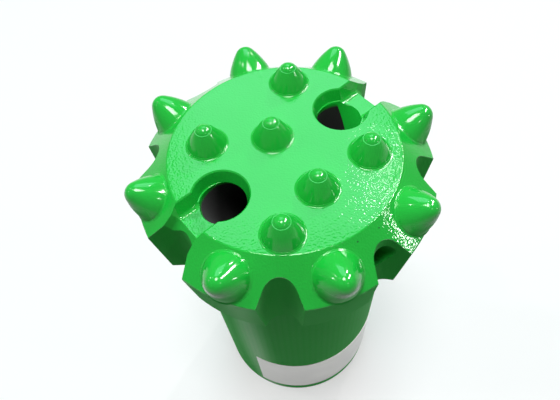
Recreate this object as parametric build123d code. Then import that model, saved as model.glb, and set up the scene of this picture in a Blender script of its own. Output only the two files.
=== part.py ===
from math import cos, radians, sin, tan

import os

from build123d import *

# A threaded button bit for top-hammer drilling: one steel body that was turned, milled and
# drilled, fourteen pressed carbide buttons and a plain sticker on the skirt.
# Millimetres. The origin is the centre of the skirt's open end, +Z runs to the front face.

# Rod socket in the skirt, with a left-hand trapezoidal thread
pilot_radius = 26.4
pilot_depth = 14.0
pilot_chamfer = 2.0
socket_depth = 98.0
thread_crest_radius = 23.2
thread_root_radius = 25.8
thread_pitch = 20.0
thread_root_flat = 5.5
thread_flank_angle = 35.0
thread_relief_radius = 26.1
thread_relief_gap = 0.4
thread_cutter_overlap = 1.0

# Body turning
body_length = 159.5
head_radius = 49.3
gauge_drop = 10.7
gauge_width = 12.3
rim_radius = 46.7
head_depth = 31.8
shoulder_angle = 25.0
shoulder_fillet = 6.0
skirt_radius = 38.3
skirt_end_chamfer = 1.5

# Flutes round the head, milled parallel to the axis
flute_angles = (90.8, 133.7, 178.4, 272.3, 315.0, 358.9)
flute_depth = 7.7
flute_root_radius = 5.5
flute_half_angle = 27.0
wide_flute_angles = (45, 225)
wide_flute_depth = 10.2
wide_flute_root_radius = 7.2
wide_flute_half_angle = 28.0

# Flushing pockets in the front face, each with a groove out to its wide flute
pocket_edge_distance = 11.9
pocket_mouth_radius = 9.1
pocket_floor_radius = 7.7
pocket_depth = 4.4
groove_depth = 5.3
groove_mouth_half_width = 6.9
groove_floor_half_width = 4.9
groove_floor_fillet = 1.8
groove_crease_reach = 1.0
groove_fall_angle = 55.0

# Broken edges: rounds on the turned ones, chamfers on the pockets and grooves
turned_edge_radius = 0.7
milled_edge_chamfer = 0.4
round_wall_share = 0.45

# Flushing holes inside the head
front_hole_radius = 7.2
front_hole_shift = 0.4
front_hole_lean = 28.0
side_hole_angle = 315
side_hole_radius = 5.0
side_hole_drop = 15.0
side_hole_fall_angle = 40.0
flush_bore_radius = 10.0
flush_bore_end_drop = 36.0

# Gauge buttons, square to the gauge cone
gauge_button_angles = (251.5, 294.2, 336.3, 21.0, 70.5, 111.2, 156.1, 201.0)
gauge_button_radius = 7.4
gauge_button_height = 9.0
gauge_button_tip_radius = 3.9
gauge_button_side_radius = 26.5
gauge_button_seat_depth = 11.0
gauge_button_slope_share = 0.55

# Front buttons, parallel to the axis, placed by X and Y shares of the face's radius
front_button_place_shares = (
    (-0.6676, 0.0405),
    (-0.1054, 0.1351),
    (-0.0054, 0.7919),
    (0.7270, -0.0108),
    (0.3054, -0.3892),
    (0.0527, -0.8135),
)
front_button_radius = 6.35
front_button_height = 8.1
front_button_tip_radius = 3.0
front_button_tip_foot_radius = 2.5
front_button_side_radius = 28.0
front_button_ledge = 0.2
front_button_seat_depth = 10.0

# Both kinds of button
button_foot_chamfer = 0.8
button_hole_clearance = 0.02
button_collar = 0.3

# Sticker on the skirt
label_height = 39.0
label_bottom = 8.0
label_start_angle = 245.5
label_wrap_angle = 104.0
label_thickness = 0.2
label_glue_thickness = 0.05

# One overrun for every cutter
overrun = 6.0

# Places on the head and heights that follow
face_radius = head_radius - gauge_width
flute_root = head_radius - flute_depth
wide_flute_root = head_radius - wide_flute_depth
pocket_place = face_radius - pocket_edge_distance
front_hole_place = pocket_place - front_hole_shift
groove_crease_place = face_radius + groove_crease_reach
face_z = body_length
gauge_z = body_length - gauge_drop
rim_z = body_length - head_depth


def round_on_shoulder(radius, turn):
    """A round at one end of the shoulder, no larger than the shoulder's wall has room for."""
    wall = (rim_radius - skirt_radius) / cos(radians(shoulder_angle))
    return min(radius, wall * round_wall_share / tan(radians(turn / 2)))


def turned_body():
    """The blank as it comes off the lathe, without its socket."""
    shoulder_fall = (rim_radius - skirt_radius) * tan(radians(shoulder_angle))
    shoulder_z = rim_z - shoulder_fall
    shoulder_turn = 90 - shoulder_angle
    outline = Polyline(
        (0, 0),
        (skirt_radius - skirt_end_chamfer, 0),
        (skirt_radius, skirt_end_chamfer),
        (skirt_radius, shoulder_z),
        (rim_radius, rim_z),
        (head_radius, gauge_z),
        (face_radius, face_z),
        (0, face_z),
        close=True,
    )
    profile = make_face(outline)
    for radius, corner in (
        (round_on_shoulder(shoulder_fillet, shoulder_turn), (skirt_radius, shoulder_z)),
        (round_on_shoulder(turned_edge_radius, shoulder_turn), (rim_radius, rim_z)),
        (turned_edge_radius, (head_radius, gauge_z)),
        (turned_edge_radius, (face_radius, face_z)),
    ):
        profile = fillet(profile.vertices().sort_by_distance(corner)[0], radius)
    return revolve(Plane.XZ * profile, Axis.Z)


def flute_cutter(root, root_radius, half_angle):
    """A round-bottomed V, along +X, that opens past the head."""
    centre = root + root_radius
    reach = max(head_radius, rim_radius) + overrun
    touch_x = centre - root_radius * sin(radians(half_angle))
    touch_y = root_radius * cos(radians(half_angle))
    mouth_y = touch_y + (reach - touch_x) * tan(radians(half_angle))
    walls = Polyline(
        (touch_x, -touch_y),
        (reach, -mouth_y),
        (reach, mouth_y),
        (touch_x, touch_y),
        close=True,
    )
    section = make_face(walls) + Pos(centre, 0) * Circle(root_radius)
    tall = head_depth + 2 * overrun + (rim_radius - skirt_radius)
    return Pos(0, 0, face_z + overrun - tall) * extrude(section, tall)


def flute_cutters():
    """All flutes round the head."""
    narrow = flute_cutter(flute_root, flute_root_radius, flute_half_angle)
    wide = flute_cutter(wide_flute_root, wide_flute_root_radius, wide_flute_half_angle)
    cutters = [Rot(0, 0, angle) * narrow for angle in flute_angles]
    return cutters + [Rot(0, 0, angle) * wide for angle in wide_flute_angles]


def groove_section():
    """Section of the groove, floor at zero, with its chamfered mouth carried past the face."""
    side_run = groove_mouth_half_width - groove_floor_half_width
    chamfer_foot = groove_depth - milled_edge_chamfer
    foot_half_width = groove_floor_half_width + side_run * chamfer_foot / groove_depth
    flare = milled_edge_chamfer + overrun
    section = make_face(
        Polyline(
            (-groove_floor_half_width, 0),
            (groove_floor_half_width, 0),
            (foot_half_width, chamfer_foot),
            (foot_half_width + flare, chamfer_foot + flare),
            (-foot_half_width - flare, chamfer_foot + flare),
            (-foot_half_width, chamfer_foot),
            close=True,
        )
    )
    return fillet(section.vertices().sort_by(Axis.Y)[:2], groove_floor_fillet)


def groove_cutter():
    """Groove along +X: level from the pocket to the crease, then falling to the flute."""
    floor_z = face_z - groove_depth
    run = wide_flute_root + wide_flute_root_radius - groove_crease_place
    fall = run * tan(radians(groove_fall_angle))
    path = Polyline(
        (pocket_place, 0, floor_z),
        (groove_crease_place, 0, floor_z),
        (groove_crease_place + run, 0, floor_z - fall),
    )
    start = Plane(origin=(pocket_place, 0, floor_z), x_dir=(0, 1, 0), z_dir=(1, 0, 0))
    return sweep(start * groove_section(), path, transition=Transition.RIGHT)


def pocket_cutter():
    """The flaring round pocket, along +X, with the leaning flushing hole under it."""
    side_run = pocket_mouth_radius - pocket_floor_radius
    chamfer_foot = pocket_depth - milled_edge_chamfer
    foot_radius = pocket_floor_radius + side_run * chamfer_foot / pocket_depth
    flare = milled_edge_chamfer + overrun
    outline = Polyline(
        (0, -pocket_depth),
        (pocket_floor_radius, -pocket_depth),
        (foot_radius, -milled_edge_chamfer),
        (foot_radius + flare, overrun),
        (0, overrun),
        close=True,
    )
    pocket = Pos(pocket_place, 0, face_z) * revolve(Plane.XZ * make_face(outline), Axis.Z)
    return pocket + front_hole_cutter()


def front_hole_cutter():
    """Round hole from the pocket's floor down to the middle of the flush bore."""
    floor_z = face_z - pocket_depth
    length = front_hole_place / sin(radians(front_hole_lean))
    hole = Cylinder(
        front_hole_radius,
        length + 2 * overrun,
        align=(Align.CENTER, Align.CENTER, Align.MAX),
    )
    hole = Pos(0, 0, 2 * overrun) * hole
    hole = Pos(front_hole_place, 0, floor_z) * Rot(0, front_hole_lean, 0) * hole
    below_floor = Cylinder(
        head_radius,
        length + 2 * overrun,
        align=(Align.CENTER, Align.CENTER, Align.MAX),
    )
    return hole & Pos(0, 0, floor_z) * below_floor


def side_hole_cutter():
    """Round hole from the root of one flute, falling inwards to the flush bore."""
    inward = flute_root / cos(radians(side_hole_fall_angle))
    hole = Cylinder(
        side_hole_radius,
        inward + overrun,
        align=(Align.CENTER, Align.CENTER, Align.MAX),
    )
    hole = Pos(0, 0, overrun) * hole
    hole = Rot(0, 90 - side_hole_fall_angle, 0) * hole
    return Rot(0, 0, side_hole_angle) * Pos(flute_root, 0, face_z - side_hole_drop) * hole


def thread_inner_half():
    """Half width of the thread cutter at its inner side, a little inside the crest."""
    depth = thread_root_radius - thread_crest_radius + thread_cutter_overlap
    return thread_root_flat / 2 + depth / tan(radians(thread_flank_angle))


def thread_end_z():
    """Height of the last turn's middle, where the whole thread has run out into the relief."""
    return socket_depth - thread_relief_gap - thread_inner_half()


def socket_cutter():
    """Pilot bore, thread crest bore, relief and flush bore, as one turned shape."""
    relief_z = thread_end_z() - thread_inner_half() - thread_relief_gap
    bore_end_z = face_z - flush_bore_end_drop
    outline = Polyline(
        (0, -overrun),
        (pilot_radius + pilot_chamfer + overrun, -overrun),
        (pilot_radius, pilot_chamfer),
        (pilot_radius, pilot_depth),
        (thread_crest_radius, pilot_depth + pilot_radius - thread_crest_radius),
        (thread_crest_radius, relief_z),
        (thread_relief_radius, relief_z),
        (thread_relief_radius, socket_depth),
        (flush_bore_radius, socket_depth),
        (flush_bore_radius, bore_end_z),
        (0, bore_end_z),
        close=True,
    )
    return revolve(Plane.XZ * make_face(outline), Axis.Z)


def thread_cutter():
    """Left-hand trapezoidal groove that runs out into the pilot bore and the relief."""
    inner_radius = thread_crest_radius - thread_cutter_overlap
    depth = thread_root_radius - inner_radius
    section = make_face(
        Polyline(
            (0, -thread_inner_half()),
            (depth, -thread_root_flat / 2),
            (depth, thread_root_flat / 2),
            (0, thread_inner_half()),
            close=True,
        )
    )
    start_z = pilot_depth - thread_pitch / 2
    rise = thread_end_z() - start_z
    path = Helix(thread_pitch, rise, inner_radius, center=(0, 0, start_z), lefthand=True)
    start = Plane(origin=path @ 0, x_dir=(1, 0, 0), z_dir=(0, -1, 0))
    return sweep(start * section, path, is_frenet=True)


def gauge_tilt():
    """Lean of the gauge cone's normal from the axis, in degrees."""
    return Vector(0, 1, 0).get_angle(Vector(gauge_drop, gauge_width, 0))


def gauge_spot(angle):
    """Where a gauge button leaves the cone, with its Z out of the steel."""
    place = face_radius + gauge_width * gauge_button_slope_share
    height = face_z - gauge_drop * gauge_button_slope_share
    return Rot(0, 0, angle) * Pos(place, 0, height) * Rot(0, gauge_tilt(), 0)


def gauge_spots():
    """The spots of all gauge buttons."""
    return [gauge_spot(angle) for angle in gauge_button_angles]


def front_spots():
    """The spots of all front buttons."""
    return [
        Pos(face_radius * x_share, face_radius * y_share, face_z)
        for x_share, y_share in front_button_place_shares
    ]


def button_hole_cutter(radius, seat_depth):
    """Flat-bottomed hole for a pressed button, opening past the steel."""
    hole = Cylinder(
        radius + button_hole_clearance,
        seat_depth + overrun,
        align=(Align.CENTER, Align.CENTER, Align.MIN),
    )
    return Pos(0, 0, -seat_depth) * hole


def crown_touch(radius, height, tip_radius, side_radius):
    """Point where a crown's side arc, inside the collar's edge, runs into its tip arc."""
    foot = Vector(radius, button_collar)
    tip_centre = Vector(0, height - tip_radius)
    apart = (foot - tip_centre).length
    across = (foot - tip_centre).normalized()
    along = ((side_radius - tip_radius) ** 2 - side_radius**2 + apart**2) / (2 * apart)
    aside = ((side_radius - tip_radius) ** 2 - along**2) ** 0.5
    side_centre = tip_centre + across * along + Vector(across.Y, -across.X) * aside
    return tip_centre + (tip_centre - side_centre).normalized() * tip_radius


def shank_outline(radius, height, seat_depth):
    """Half outline of a button from its tip down the axis, under the seat and up to its collar."""
    return Polyline(
        (0, height),
        (0, -seat_depth),
        (radius - button_foot_chamfer, -seat_depth),
        (radius, button_foot_chamfer - seat_depth),
        (radius, button_collar),
    )


def gauge_button():
    """Blunt ballistic button of the gauge row, its steel line at z = 0."""
    touch = crown_touch(
        gauge_button_radius,
        gauge_button_height,
        gauge_button_tip_radius,
        gauge_button_side_radius,
    )
    shank = shank_outline(gauge_button_radius, gauge_button_height, gauge_button_seat_depth)
    side = RadiusArc((gauge_button_radius, button_collar), touch, -gauge_button_side_radius)
    top = RadiusArc(touch, (0, gauge_button_height), -gauge_button_tip_radius)
    return revolve(Plane.XZ * make_face(shank + side + top), Axis.Z)


def front_button():
    """Sharper button of the face: a conical side, a narrow ledge and a low dome on it."""
    tip_foot = front_button_tip_foot_radius
    ledge_edge = tip_foot + front_button_ledge
    centre_z = front_button_height - front_button_tip_radius
    ledge_z = centre_z + (front_button_tip_radius**2 - tip_foot**2) ** 0.5
    shank = shank_outline(front_button_radius, front_button_height, front_button_seat_depth)
    side = RadiusArc(
        (front_button_radius, button_collar), (ledge_edge, ledge_z), -front_button_side_radius
    )
    ledge = Line((ledge_edge, ledge_z), (tip_foot, ledge_z))
    tip = RadiusArc((tip_foot, ledge_z), (0, front_button_height), -front_button_tip_radius)
    return revolve(Plane.XZ * make_face(shank + side + ledge + tip), Axis.Z)


def bit_body():
    """The steel body with every cut made in it."""
    body = turned_body()
    body -= flute_cutters()
    for angle in wide_flute_angles:
        body -= Rot(0, 0, angle) * pocket_cutter()
        body -= Rot(0, 0, angle) * groove_cutter()
    body -= socket_cutter()
    body -= side_hole_cutter()
    body -= thread_cutter()
    gauge_hole = button_hole_cutter(gauge_button_radius, gauge_button_seat_depth)
    front_hole = button_hole_cutter(front_button_radius, front_button_seat_depth)
    body -= [spot * gauge_hole for spot in gauge_spots()]
    body -= [spot * front_hole for spot in front_spots()]
    return body


def label():
    """The plain sticker, a thin strip wrapped on the skirt over its film of glue."""
    strip = Pos(skirt_radius + label_glue_thickness, label_bottom) * Rectangle(
        label_thickness, label_height, align=(Align.MIN, Align.MIN)
    )
    wrapped = revolve(Plane.XZ * strip, Axis.Z, revolution_arc=label_wrap_angle)
    return Rot(0, 0, label_start_angle) * wrapped


def main():
    os.makedirs("parts", exist_ok=True)
    export_step(bit_body(), "parts/bit_body.step")
    for number, spot in enumerate(gauge_spots(), start=1):
        export_step(spot * gauge_button(), f"parts/gauge_button_{number}.step")
    for number, spot in enumerate(front_spots(), start=1):
        export_step(spot * front_button(), f"parts/front_button_{number}.step")
    export_step(label(), "parts/label.step")


main()
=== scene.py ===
import math

import bmesh
import bpy
from mathutils import Euler, Matrix, Vector


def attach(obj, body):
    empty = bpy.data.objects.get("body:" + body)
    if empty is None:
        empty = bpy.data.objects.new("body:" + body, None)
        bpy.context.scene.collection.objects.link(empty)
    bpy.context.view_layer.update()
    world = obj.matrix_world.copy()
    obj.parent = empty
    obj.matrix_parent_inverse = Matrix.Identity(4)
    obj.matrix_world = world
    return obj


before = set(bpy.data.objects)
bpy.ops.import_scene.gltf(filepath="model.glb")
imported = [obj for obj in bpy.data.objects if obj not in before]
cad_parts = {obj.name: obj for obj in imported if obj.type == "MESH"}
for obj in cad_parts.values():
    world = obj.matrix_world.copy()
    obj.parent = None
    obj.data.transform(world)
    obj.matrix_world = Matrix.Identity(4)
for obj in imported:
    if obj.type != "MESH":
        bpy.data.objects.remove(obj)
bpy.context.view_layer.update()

MM = 0.001

# Camera, placed as the photograph was taken
camera_place = (0.01314, -0.09720, 0.28312)
camera_turn = (32.566, 3.238, 4.230)
camera_lens = 32.08
camera_sensor = 36.0
camera_near = 0.01

# The bit's own sizes that the paint follows, in metres
face_height = 159.5 * MM
face_radius = 37.0 * MM
head_radius = 49.3 * MM
gauge_drop = 10.7 * MM
gauge_fall = gauge_drop / (head_radius - face_radius)
gauge_share = 0.55
gauge_angles = (251.5, 294.2, 336.3, 21.0, 70.5, 111.2, 156.1, 201.0)
gauge_foot_radius = 7.4 * MM
front_places = ((-24.7, 1.5), (-3.9, 5.0), (-0.2, 29.3), (26.9, -0.4), (11.3, -14.4), (1.95, -30.1))
front_foot_radius = 6.35 * MM

# Paint that gathers round each button's foot
bead_width = 0.65 * MM
bead_height = 0.55 * MM
bead_root = 0.08 * MM
bead_steps = 72
bead_hollow_steps = 5

# Unpainted steel in the socket and the flushing holes, drawn near-black, which is also painted shade
# deep in the holes; on the far hole's right the green runs deeper, up to a straight painted shadow line
inside_radius = 37.6 * MM
inside_floor = 1.0 * MM
dark_inside_height = 153.8 * MM
dark_edge_fade = 1.2 * MM
shadow_line_x = 16.8 * MM
shadow_line_lean = 0.40
lit_side_extra_depth = 16.0 * MM
bare_roughness = 0.90

# Thin dry spray on the steep sides, below the cone's surface and outside the face
dry_radius = 38.0 * MM
dry_fade = 0.3 * MM
dry_start = 0.05 * MM
dry_full = 0.35 * MM
dry_roughness = 0.80

# Glossier streaks drawn down through the dry spray: counts per metre, drawn length, place and depth
streak_scale = 32.0
streak_stretch = 0.12
streak_shift = 5.5 * MM
streak_shares = (-0.35, 2.4)

# Dry spray on the outer sides of the gauge buttons
dry_button_radius = 44.8 * MM
dry_button_fade = 1.5 * MM
dry_button_height = 157.5 * MM
dry_button_drop = 3.0 * MM
dry_button_roughness = 0.62

# Patterns: their sizes as counts per metre, and how many finer layers each has
wave_scale = 110.0
dimple_scale = 520.0
grain_scale = 1600.0
ragged_scale = 260.0
tone_scale = 45.0
gloss_scale = 300.0
cloud_scale = 60.0
wave_detail = 1.0
dimple_detail = 1.0
grain_detail = 0.0
streak_detail = 1.0
ragged_detail = 3.0
tone_detail = 3.0
gloss_detail = 2.0
cloud_detail = 4.0

# Heights of the waves, dimples and grain, and how rough each finish is
body_heights = {"Wave": 0.030 * MM, "Dimple": 0.008 * MM, "Grain": 0.045 * MM}
button_heights = {"Wave": 0.020 * MM, "Dimple": 0.006 * MM, "Grain": 0.004 * MM}
sticker_heights = {"Wave": 0.040 * MM, "Dimple": 0.004 * MM, "Grain": 0.001 * MM}
enamel_ior = 1.45
body_roughness = 0.05
button_roughness = (0.07, 0.16)
sticker_roughness = (0.36, 0.46)
sticker_metallic = 0.70

# Specks that settled in the wet paint
speck_scale = 170.0
speck_size = 0.055
speck_chosen = 0.86

# Finishes
enamel_green = (0.012, 0.520, 0.050, 1)
enamel_deep_green = (0.009, 0.450, 0.038, 1)
# Near-black colour of the unpainted steel, which also stands for painted shade deep in the holes
unpainted_steel_and_shade = (0.003, 0.003, 0.003, 1)
speck_dark = (0.010, 0.160, 0.030, 1)
sticker_white = (0.700, 0.700, 0.680, 1)
sticker_grey = (0.560, 0.565, 0.550, 1)

# Floor and surroundings
floor_half_size = 4.0
floor_white = (0.850, 0.850, 0.850, 1)
floor_shade = (0.040, 0.040, 0.040, 1)
floor_roughness = 0.9
floor_glow = 1.0
floor_glow_share = 0.48
world_white = (1, 1, 1, 1)
world_strength = 0.05
world_seen_strength = 0.40

# Lamps: name, place in metres, size, power, colour
white_light = (1, 1, 1)
mint_light = (0.55, 0.95, 0.95)
LAMPS = (
    ("overhead_lamp", (-0.05, -0.06, 1.60), 0.50, 18, white_light),
    ("far_wash_lamp", (-0.14, 1.02, 1.46), 0.85, 9, mint_light),
    ("key_lamp", (0.20, 0.78, 1.27), 0.05, 0.45, white_light),
    ("right_back_lamp", (0.54, 1.11, 0.99), 0.03, 4, white_light),
    ("left_low_lamp", (-1.20, -0.10, 0.75), 0.04, 1.0, white_light),
    ("left_lamp", (-1.00, 0.25, 1.00), 0.04, 1.0, white_light),
    ("left_high_lamp", (-0.70, 0.10, 1.30), 0.04, 1.0, white_light),
    ("front_right_lamp", (0.75, -0.65, 1.20), 0.035, 0.7, white_light),
    ("right_lamp", (1.30, -0.12, 0.50), 0.10, 1.2, white_light),
)

# Long thin lamp on the right, seen only in reflections: its two ends, width and power
strip_start = (0.63, 0.08, 1.17)
strip_end = (0.73, 0.73, 0.76)
strip_width = 0.12
strip_power = 24.0

# What every lamp is turned to
lamps_aim = Vector((0, 0, face_height))

# A Mix node's sockets for colours, and the rows of a place's matrix
mix_first = 6
mix_second = 7
mix_result = 2
matrix_rows = 4


def make_group(name, inputs, outputs):
    """An empty shader node group with named float, colour or vector sockets."""
    group = bpy.data.node_groups.new(name, "ShaderNodeTree")
    for socket, kind in inputs:
        group.interface.new_socket(name=socket, in_out="INPUT", socket_type=kind)
    for socket, kind in outputs:
        group.interface.new_socket(name=socket, in_out="OUTPUT", socket_type=kind)
    return group, group.nodes.new("NodeGroupInput"), group.nodes.new("NodeGroupOutput")


def math_node(tree, operation, first, second=None, third=None):
    """A Math node fed by sockets or numbers, and its result."""
    node = tree.nodes.new("ShaderNodeMath")
    node.operation = operation
    for socket, value in zip(node.inputs, (first, second, third)):
        if value is None:
            continue
        if isinstance(value, (int, float)):
            socket.default_value = value
        else:
            tree.links.new(value, socket)
    return node.outputs[0]


def noise_node(tree, vector, scale, detail):
    """A Noise node's value on the given coordinates."""
    node = tree.nodes.new("ShaderNodeTexNoise")
    tree.links.new(vector, node.inputs["Vector"])
    node.inputs["Scale"].default_value = scale
    node.inputs["Detail"].default_value = detail
    return node.outputs["Fac"]


def split_place(tree, vector):
    """A node that gives a place's X, Y and Z."""
    node = tree.nodes.new("ShaderNodeSeparateXYZ")
    tree.links.new(vector, node.inputs["Vector"])
    return node


def orange_peel_group():
    """Height of the enamel's spray coat: long soft waves, short dimples and a fine grain."""
    group, given, result = make_group(
        "orange_peel",
        [
            ("Vector", "NodeSocketVector"),
            ("Wave", "NodeSocketFloat"),
            ("Dimple", "NodeSocketFloat"),
            ("Grain", "NodeSocketFloat"),
        ],
        [("Height", "NodeSocketFloat")],
    )
    place = given.outputs["Vector"]
    waves = noise_node(group, place, wave_scale, wave_detail)
    dimples = noise_node(group, place, dimple_scale, dimple_detail)
    grain = noise_node(group, place, grain_scale, grain_detail)
    height = math_node(group, "MULTIPLY", waves, given.outputs["Wave"])
    height = math_node(group, "MULTIPLY_ADD", dimples, given.outputs["Dimple"], height)
    height = math_node(group, "MULTIPLY_ADD", grain, given.outputs["Grain"], height)
    group.links.new(height, result.inputs["Height"])
    return group


def specks_group():
    """Mask of sparse small specks that settled in the wet paint."""
    group, given, result = make_group(
        "paint_specks",
        [("Vector", "NodeSocketVector")],
        [("Mask", "NodeSocketFloat")],
    )
    cells = group.nodes.new("ShaderNodeTexVoronoi")
    group.links.new(given.outputs["Vector"], cells.inputs["Vector"])
    cells.inputs["Scale"].default_value = speck_scale
    near = math_node(group, "LESS_THAN", cells.outputs["Distance"], speck_size)
    split = group.nodes.new("ShaderNodeSeparateColor")
    group.links.new(cells.outputs["Color"], split.inputs["Color"])
    chosen = math_node(group, "GREATER_THAN", split.outputs["Red"], speck_chosen)
    mask = math_node(group, "MULTIPLY", near, chosen)
    group.links.new(mask, result.inputs["Mask"])
    return group


def zero_to_one(tree, value):
    """A value held between zero and one."""
    return math_node(tree, "MINIMUM", math_node(tree, "MAXIMUM", value, 0.0), 1.0)


def axis_distance(group, split):
    """Distance from the bit's axis."""
    flat = group.nodes.new("ShaderNodeCombineXYZ")
    group.links.new(split.outputs["X"], flat.inputs["X"])
    group.links.new(split.outputs["Y"], flat.inputs["Y"])
    length = group.nodes.new("ShaderNodeVectorMath")
    length.operation = "LENGTH"
    group.links.new(flat.outputs["Vector"], length.inputs[0])
    return length.outputs["Value"]


def below_cone(group, split, out):
    """How deep a place lies below the gauge cone carried outwards, as a share."""
    past_face = math_node(group, "MAXIMUM", math_node(group, "SUBTRACT", out, face_radius), 0.0)
    below = math_node(group, "MULTIPLY_ADD", past_face, -gauge_fall, face_height)
    below = math_node(group, "SUBTRACT", below, split.outputs["Z"])
    below = math_node(group, "SUBTRACT", below, dry_start)
    return zero_to_one(group, math_node(group, "DIVIDE", below, dry_full - dry_start))


def drawn_streaks(group, split):
    """Long soft streaks down the sides, lower where the paint is glossier."""
    drawn = group.nodes.new("ShaderNodeCombineXYZ")
    across = math_node(group, "ADD", split.outputs["X"], streak_shift)
    down = math_node(group, "MULTIPLY", split.outputs["Z"], streak_stretch)
    group.links.new(across, drawn.inputs["X"])
    group.links.new(split.outputs["Y"], drawn.inputs["Y"])
    group.links.new(down, drawn.inputs["Z"])
    streaks = noise_node(group, drawn.outputs["Vector"], streak_scale, streak_detail)
    return zero_to_one(group, mix_value(group, streaks, *streak_shares))


def dry_spray_group():
    """Mask of the dry spray on the steep sides, thinner along its streaks."""
    group, given, result = make_group(
        "dry_spray",
        [("Vector", "NodeSocketVector")],
        [("Mask", "NodeSocketFloat")],
    )
    split = split_place(group, given.outputs["Vector"])
    out = axis_distance(group, split)
    outside = math_node(group, "SUBTRACT", out, dry_radius)
    outside = zero_to_one(group, math_node(group, "DIVIDE", outside, dry_fade))
    mask = math_node(group, "MULTIPLY", below_cone(group, split, out), outside)
    mask = math_node(group, "MULTIPLY", mask, drawn_streaks(group, split))
    group.links.new(mask, result.inputs["Mask"])
    return group


def dry_button_group():
    """Mask of the gauge buttons' outer sides, below their tips."""
    group, given, result = make_group(
        "dry_button_sides",
        [("Vector", "NodeSocketVector")],
        [("Mask", "NodeSocketFloat")],
    )
    split = split_place(group, given.outputs["Vector"])
    outside = math_node(group, "SUBTRACT", axis_distance(group, split), dry_button_radius)
    outside = zero_to_one(group, math_node(group, "DIVIDE", outside, dry_button_fade))
    below = math_node(group, "SUBTRACT", dry_button_height, split.outputs["Z"])
    below = zero_to_one(group, math_node(group, "DIVIDE", below, dry_button_drop))
    group.links.new(math_node(group, "MULTIPLY", outside, below), result.inputs["Mask"])
    return group


def dark_inside_group():
    """Mask of the bit's inner walls drawn near-black: unpainted steel, and painted shade deep in the
    holes, with a painted shadow line on the far hole's right.
    """
    group, given, result = make_group(
        "unpainted_steel_and_painted_shade",
        [("Vector", "NodeSocketVector")],
        [("Mask", "NodeSocketFloat")],
    )
    split = split_place(group, given.outputs["Vector"])
    # Painted shadow line: on the far hole's right the walls stay green deeper, past a straight edge in X
    far_side = math_node(group, "GREATER_THAN", split.outputs["Y"], 0.0)
    depth = math_node(group, "SUBTRACT", dark_inside_height, split.outputs["Z"])
    side = math_node(group, "MULTIPLY_ADD", depth, shadow_line_lean, shadow_line_x)
    lit_side = math_node(group, "GREATER_THAN", split.outputs["X"], side)
    lit_side = math_node(group, "MULTIPLY", lit_side, far_side)
    reach = math_node(group, "MULTIPLY_ADD", lit_side, -lit_side_extra_depth, dark_inside_height)
    ragged = noise_node(group, given.outputs["Vector"], ragged_scale, ragged_detail)
    edge = math_node(group, "MULTIPLY_ADD", ragged, dark_edge_fade, reach)
    below_edge = math_node(group, "SUBTRACT", edge, split.outputs["Z"])
    share = math_node(group, "DIVIDE", below_edge, dark_edge_fade)
    above_end = math_node(group, "GREATER_THAN", split.outputs["Z"], inside_floor)
    near = math_node(group, "LESS_THAN", axis_distance(group, split), inside_radius)
    mask = math_node(group, "MULTIPLY", near, above_end)
    mask = math_node(group, "MULTIPLY", mask, zero_to_one(group, share))
    group.links.new(mask, result.inputs["Mask"])
    return group


def new_material(name):
    """A material with its tree and its shader."""
    material = bpy.data.materials.new(name)
    material.use_nodes = True
    tree = material.node_tree
    return material, tree, tree.nodes["Principled BSDF"]


def object_place(tree):
    """Object coordinates, which every pattern follows."""
    return tree.nodes.new("ShaderNodeTexCoord").outputs["Object"]


def use_group(tree, group, vector, values=None):
    """A group node in a material on the given coordinates, with numbers on its other sockets."""
    node = tree.nodes.new("ShaderNodeGroup")
    node.node_tree = group
    tree.links.new(vector, node.inputs["Vector"])
    for name, value in (values or {}).items():
        node.inputs[name].default_value = value
    return node.outputs[0]


def mix_colour(tree, share, first, second):
    """A colour between two colours, each a socket or four numbers."""
    node = tree.nodes.new("ShaderNodeMix")
    node.data_type = "RGBA"
    tree.links.new(share, node.inputs["Factor"])
    for socket, value in ((mix_first, first), (mix_second, second)):
        if isinstance(value, tuple):
            node.inputs[socket].default_value = value
        else:
            tree.links.new(value, node.inputs[socket])
    return node.outputs[mix_result]


def mix_value(tree, share, first, second):
    """A number between two numbers, by a mask."""
    return math_node(tree, "MULTIPLY_ADD", share, second - first, first)


def bump(tree, shader, height):
    """Feeds a height in metres to the shader's normal."""
    node = tree.nodes.new("ShaderNodeBump")
    node.inputs["Strength"].default_value = 1.0
    node.inputs["Distance"].default_value = 1.0
    tree.links.new(height, node.inputs["Height"])
    tree.links.new(node.outputs["Normal"], shader.inputs["Normal"])


def enamel_colour(tree, place, specks):
    """Green enamel with a slow change of tone and a few dark specks."""
    tone = noise_node(tree, place, tone_scale, tone_detail)
    colour = mix_colour(tree, tone, enamel_green, enamel_deep_green)
    return mix_colour(tree, use_group(tree, specks, place), colour, speck_dark)


def body_enamel(peel, specks, inside, dry):
    """Green enamel on the body: glossy on top, duller on its sides, near-black down its holes for
    unpainted steel and painted shade.
    """
    material, tree, shader = new_material("body_enamel")
    place = object_place(tree)
    # Near-black inside: unpainted steel and painted shade of the deep holes
    unpainted_and_shade = use_group(tree, inside, place)
    green = enamel_colour(tree, place, specks)
    tree.links.new(mix_colour(tree, unpainted_and_shade, green, unpainted_steel_and_shade), shader.inputs["Base Color"])
    rough = mix_value(tree, use_group(tree, dry, place), body_roughness, dry_roughness)
    rough = math_node(tree, "MAXIMUM", rough, math_node(tree, "MULTIPLY", unpainted_and_shade, bare_roughness))
    tree.links.new(rough, shader.inputs["Roughness"])
    shader.inputs["IOR"].default_value = enamel_ior
    bump(tree, shader, use_group(tree, peel, place, body_heights))
    return material


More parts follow.
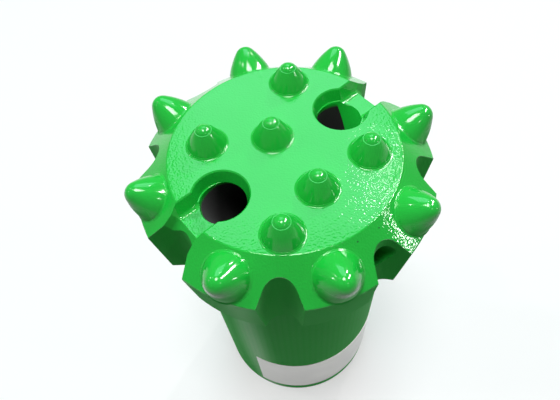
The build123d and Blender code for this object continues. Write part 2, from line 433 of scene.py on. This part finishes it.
def button_enamel(peel, specks, dry):
    """The same enamel, thinner and smoother over the carbide buttons, duller on their outer sides."""
    material, tree, shader = new_material("button_enamel")
    place = object_place(tree)
    tree.links.new(enamel_colour(tree, place, specks), shader.inputs["Base Color"])
    gloss = noise_node(tree, place, gloss_scale, gloss_detail)
    gloss = mix_value(tree, gloss, *button_roughness)
    dull = math_node(tree, "MULTIPLY", use_group(tree, dry, place), dry_button_roughness)
    tree.links.new(math_node(tree, "MAXIMUM", gloss, dull), shader.inputs["Roughness"])
    shader.inputs["IOR"].default_value = enamel_ior
    bump(tree, shader, use_group(tree, peel, place, button_heights))
    return material


def sticker_film(peel):
    """Plain satin film of the sticker, a little uneven over its glue."""
    material, tree, shader = new_material("sticker_film")
    place = object_place(tree)
    cloud = noise_node(tree, place, cloud_scale, cloud_detail)
    tree.links.new(mix_colour(tree, cloud, sticker_white, sticker_grey), shader.inputs["Base Color"])
    tree.links.new(mix_value(tree, cloud, *sticker_roughness), shader.inputs["Roughness"])
    shader.inputs["Metallic"].default_value = sticker_metallic
    bump(tree, shader, use_group(tree, peel, place, sticker_heights))
    return material


def floor_material():
    """Pale floor: white to the eye and to reflections, darker for the light that it throws back."""
    material, tree, shader = new_material("studio_floor")
    shader.inputs["Base Color"].default_value = floor_white
    shader.inputs["Roughness"].default_value = floor_roughness
    shade = tree.nodes.new("ShaderNodeBsdfDiffuse")
    shade.inputs["Color"].default_value = floor_shade
    glow = tree.nodes.new("ShaderNodeEmission")
    glow.inputs["Strength"].default_value = floor_glow
    lit = tree.nodes.new("ShaderNodeMixShader")
    lit.inputs["Fac"].default_value = floor_glow_share
    tree.links.new(shader.outputs["BSDF"], lit.inputs[1])
    tree.links.new(glow.outputs["Emission"], lit.inputs[2])
    mix = tree.nodes.new("ShaderNodeMixShader")
    tree.links.new(seen_share(tree), mix.inputs["Fac"])
    tree.links.new(shade.outputs["BSDF"], mix.inputs[1])
    tree.links.new(lit.outputs["Shader"], mix.inputs[2])
    output = tree.nodes["Material Output"]
    tree.links.new(mix.outputs["Shader"], output.inputs["Surface"])
    return material


def dress(node, material):
    """Gives a CAD piece its finish."""
    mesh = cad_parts[node].data
    mesh.materials.clear()
    mesh.materials.append(material)


def finish_piece(name, bm, material):
    """Turns a bmesh into a smooth piece that rides on the bit."""
    bmesh.ops.recalc_face_normals(bm, faces=bm.faces)
    mesh = bpy.data.meshes.new(name)
    bm.to_mesh(mesh)
    bm.free()
    mesh.shade_smooth()
    mesh.materials.append(material)
    piece = bpy.data.objects.new(name, mesh)
    bpy.context.scene.collection.objects.link(piece)
    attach(piece, "root")
    return piece


def paint_bead(radius):
    """Ring of gathered paint about Z: a hollow fillet on the outside, its root in the foot."""
    bm = bmesh.new()
    outline = [Vector((radius - bead_root, 0, -bead_root)), Vector((radius + bead_width, 0, -bead_root))]
    for step in range(bead_hollow_steps + 1):
        turn = math.pi / 2 * step / bead_hollow_steps
        across = radius + bead_width * (1 - math.sin(turn))
        outline.append(Vector((across, 0, bead_height * (1 - math.cos(turn)))))
    outline.append(Vector((radius - bead_root, 0, bead_height)))
    verts = [bm.verts.new(point) for point in outline]
    edges = [bm.edges.new(pair) for pair in zip(verts, verts[1:] + verts[:1])]
    bmesh.ops.spin(
        bm,
        geom=verts + edges,
        cent=(0, 0, 0),
        axis=(0, 0, 1),
        angle=2 * math.pi,
        steps=bead_steps,
        use_merge=True,
    )
    return bm


def gauge_spot(angle):
    """Where a gauge button leaves the cone, with Z out of the steel."""
    slope = Vector((head_radius - face_radius, 0, -gauge_drop))
    lean = math.atan2(gauge_drop, head_radius - face_radius)
    place = Vector((face_radius, 0, face_height)) + slope * gauge_share
    turn = Matrix.Rotation(math.radians(angle), matrix_rows, "Z")
    return turn @ Matrix.Translation(place) @ Matrix.Rotation(lean, matrix_rows, "Y")


def add_front_beads(material):
    """Gathered paint round the face's buttons."""
    for number, (x, y) in enumerate(front_places, start=1):
        bm = paint_bead(front_foot_radius)
        bmesh.ops.translate(bm, verts=bm.verts, vec=(x * MM, y * MM, face_height))
        finish_piece(f"front_foot_bead_{number}", bm, material)


def add_gauge_beads(material):
    """Gathered paint round the gauge buttons, let down on to the cone."""
    for number, angle in enumerate(gauge_angles, start=1):
        bm = paint_bead(gauge_foot_radius)
        spot = gauge_spot(angle)
        normal = spot.to_3x3() @ Vector((0, 0, 1))
        for vert in bm.verts:
            on_plane = spot @ Vector((vert.co.x, vert.co.y, 0))
            out = math.hypot(on_plane.x, on_plane.y)
            cone_height = face_height - (out - face_radius) * gauge_fall
            vert.co.z += (cone_height - on_plane.z) * normal.z
        bmesh.ops.transform(bm, matrix=spot, verts=bm.verts)
        finish_piece(f"gauge_foot_bead_{number}", bm, material)


def add_lamps():
    """Square lamps, all turned to the head."""
    for name, place, size, power, colour in LAMPS:
        data = bpy.data.lights.new(name, "AREA")
        data.shape = "SQUARE"
        data.size = size
        data.energy = power
        data.color = colour
        lamp = bpy.data.objects.new(name, data)
        lamp.location = place
        lamp.rotation_euler = (lamps_aim - Vector(place)).to_track_quat("-Z", "Y").to_euler()
        bpy.context.scene.collection.objects.link(lamp)


def add_strip_lamp():
    """A long thin lamp, turned to the head, whose reflection draws lines along rounded edges."""
    start = Vector(strip_start)
    end = Vector(strip_end)
    middle = (start + end) / 2
    along = (end - start).normalized()
    across = (middle - lamps_aim).cross(along).normalized()
    data = bpy.data.lights.new("strip_lamp", "AREA")
    data.shape = "RECTANGLE"
    data.size = (end - start).length
    data.size_y = strip_width
    data.energy = strip_power
    lamp = bpy.data.objects.new("strip_lamp", data)
    turn = Matrix((along, across, along.cross(across))).transposed()
    lamp.matrix_world = Matrix.Translation(middle) @ turn.to_4x4()
    lamp.visible_diffuse = False
    bpy.context.scene.collection.objects.link(lamp)


def seen_share(tree):
    """One for the eye, for reflections and through glass; zero for the light that is thrown back."""
    path = tree.nodes.new("ShaderNodeLightPath")
    seen = math_node(tree, "MAXIMUM", path.outputs["Is Camera Ray"], path.outputs["Is Glossy Ray"])
    return math_node(tree, "MAXIMUM", seen, path.outputs["Is Transmission Ray"])


def add_world():
    """Plain surroundings: pale to the eye and to reflections, dim as light."""
    world = bpy.data.worlds.new("surroundings")
    world.use_nodes = True
    tree = world.node_tree
    background = tree.nodes["Background"]
    background.inputs["Color"].default_value = world_white
    strength = mix_value(tree, seen_share(tree), world_strength, world_seen_strength)
    tree.links.new(strength, background.inputs["Strength"])
    bpy.context.scene.world = world


def add_floor():
    """The plain floor that the bit stands on."""
    bm = bmesh.new()
    bmesh.ops.create_grid(bm, x_segments=1, y_segments=1, size=floor_half_size)
    mesh = bpy.data.meshes.new("floor")
    bm.to_mesh(mesh)
    bm.free()
    mesh.materials.append(floor_material())
    floor = bpy.data.objects.new("floor", mesh)
    bpy.context.scene.collection.objects.link(floor)


def add_camera():
    """The camera at the photograph's place."""
    data = bpy.data.cameras.new("camera")
    data.lens = camera_lens
    data.sensor_width = camera_sensor
    data.clip_start = camera_near
    camera = bpy.data.objects.new("camera", data)
    camera.location = camera_place
    camera.rotation_euler = Euler([math.radians(turn) for turn in camera_turn])
    bpy.context.scene.collection.objects.link(camera)
    bpy.context.scene.camera = camera


def main():
    peel = orange_peel_group()
    specks = specks_group()
    on_body = body_enamel(peel, specks, dark_inside_group(), dry_spray_group())
    on_buttons = button_enamel(peel, specks, dry_button_group())
    dress("bit_body", on_body)
    dress("label", sticker_film(peel))
    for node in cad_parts:
        if "button" in node:
            dress(node, on_buttons)
    add_front_beads(on_buttons)
    add_gauge_beads(on_buttons)
    add_floor()
    add_world()
    add_lamps()
    add_strip_lamp()
    add_camera()
    bpy.context.scene.view_settings.view_transform = "Standard"


main()
